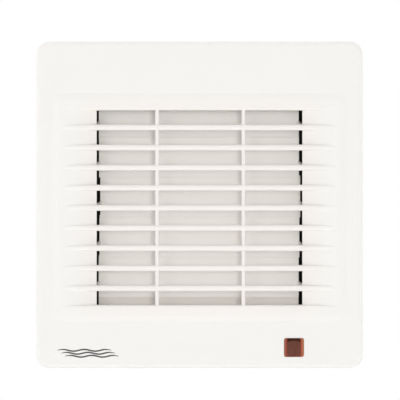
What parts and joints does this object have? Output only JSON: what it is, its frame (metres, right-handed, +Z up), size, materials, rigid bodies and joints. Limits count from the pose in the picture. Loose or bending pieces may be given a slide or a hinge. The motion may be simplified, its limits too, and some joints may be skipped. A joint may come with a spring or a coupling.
{
  "type": "heat recovery unit",
  "caption": "Single-room heat recovery ventilator: square louvred fascia with automatic shutter and indicator, fan chassis, and a wall tube holding a filter and ceramic core.",
  "frame": {"origin": "on the duct's axis in the plane of the wall's inner face, which is the chassis back plate's rear face and the centre of the wall-screw pattern", "axes": "+X to the right seen from the room, +Y into the wall along the duct, +Z up"},
  "size_m": [0.16, 0.261, 0.16],
  "materials": {
    "white_abs": "fine satin",
    "black_abs": "fine satin",
    "grey_abs": "satin",
    "acetal": "satin",
    "amber_lens": "tinted gloss",
    "lamp_glass": "clear gloss",
    "steel": "bright",
    "zinc_steel": "zinc plated",
    "brass_metal": "satin",
    "ferrite": "dull",
    "copper_wire": "enamelled",
    "circuit_board": "satin",
    "component_black": "satin",
    "rubber_seal": "dull",
    "pvc_tube": "satin",
    "foam": "open-cell foam",
    "ceramic_core": "unglazed",
    "wire_pvc": "satin"
  },
  "bodies": {
    "unit": {"indicator_lamp": "lamp_glass", "shutter_frame": "white_abs", "actuator_body": "brass_metal", "return_spring": "steel", "chassis": "black_abs", "duct_spigot": "black_abs", "spigot_seal": "rubber_seal", "motor_bracket": "black_abs", "motor_bearings": "steel", "motor_base": "zinc_steel", "stator_core": "zinc_steel", "stator_coils": "copper_wire", "motor_board": "circuit_board", "motor_screws": "steel", "control_board": "circuit_board", "power_transformer": "component_black", "smoothing_capacitor": "component_black", "relay": "component_black", "board_connector": "acetal", "board_screws": "steel", "terminal_block": "acetal", "terminal_screws": "steel", "cord_clamp": "acetal", "cord_clamp_screws": "steel", "cable_grommet": "rubber_seal", "frame_screws": "steel", "wall_tube": "pvc_tube", "filter_frame": "white_abs", "filter_foam": "foam", "regenerator_core": "ceramic_core", "core_sleeve": "foam", "outer_screen": "black_abs", "mains_leads": "wire_pvc", "actuator_leads": "wire_pvc", "motor_lead": "wire_pvc"},
    "fascia": {"fascia": "white_abs", "indicator_lens": "amber_lens"},
    "link": {"link_bar": "acetal"},
    "plunger": {"actuator_plunger": "steel"},
    "rotor": {"impeller": "grey_abs", "rotor_cup": "zinc_steel", "rotor_magnet": "ferrite", "motor_shaft": "steel"},
    "blade_1": {"shutter_blade_1": "white_abs", "shutter_crank_1": "acetal"},
    "blade_2": {"shutter_blade_2": "white_abs", "shutter_crank_2": "acetal"},
    "blade_3": {"shutter_blade_3": "white_abs", "shutter_crank_3": "acetal"},
    "blade_4": {"shutter_blade_4": "white_abs", "shutter_crank_4": "acetal"},
    "blade_5": {"shutter_blade_5": "white_abs", "shutter_crank_5": "acetal"}
  },
  "joints": [
    {"name": "shutter_1", "type": "hinge", "parent": "unit", "child": "blade_1", "pos_m": [0, -0.0255, 0.039], "axis": [-1, 0, 0], "range_deg": [0, 75]},
    {"name": "shutter_2", "type": "hinge", "parent": "unit", "child": "blade_2", "pos_m": [0, -0.0255, 0.01931], "axis": [-1, 0, 0], "range_deg": [0, 75]},
    {"name": "shutter_3", "type": "hinge", "parent": "unit", "child": "blade_3", "pos_m": [0, -0.0255, -0.00038], "axis": [-1, 0, 0], "range_deg": [0, 75]},
    {"name": "shutter_4", "type": "hinge", "parent": "unit", "child": "blade_4", "pos_m": [0, -0.0255, -0.02007], "axis": [-1, 0, 0], "range_deg": [0, 75]},
    {"name": "shutter_5", "type": "hinge", "parent": "unit", "child": "blade_5", "pos_m": [0, -0.0255, -0.03976], "axis": [-1, 0, 0], "range_deg": [0, 75]},
    {"name": "link_swing", "type": "hinge", "parent": "blade_1", "child": "link", "pos_m": [0.0595, -0.02074, 0.04265], "axis": [-1, 0, 0], "range_deg": [-75, 0]},
    {"name": "plunger_travel", "type": "slide", "parent": "unit", "child": "plunger", "axis": [0, 0, -1], "range_m": [0, 0.0073], "stiffness_N_per_m": 30, "springref_m": -0.0083, "deforming": ["return_spring"]},
    {"name": "fan_spin", "type": "hinge", "parent": "unit", "child": "rotor", "pos_m": [0, 0.012, 0], "axis": [0, 1, 0], "continuous": true},
    {"name": "fascia_pull", "type": "slide", "parent": "unit", "child": "fascia", "axis": [0, -1, 0], "range_m": [0, 0.05]}
  ],
  "couplings": [
    {"joint": "shutter_1", "follows": "plunger_travel", "rad_per_m": 179.19},
    {"joint": "shutter_2", "follows": "plunger_travel", "rad_per_m": 179.19},
    {"joint": "shutter_3", "follows": "plunger_travel", "rad_per_m": 179.19},
    {"joint": "shutter_4", "follows": "plunger_travel", "rad_per_m": 179.19},
    {"joint": "shutter_5", "follows": "plunger_travel", "rad_per_m": 179.19},
    {"joint": "link_swing", "follows": "plunger_travel", "rad_per_m": -179.19}
  ]
}
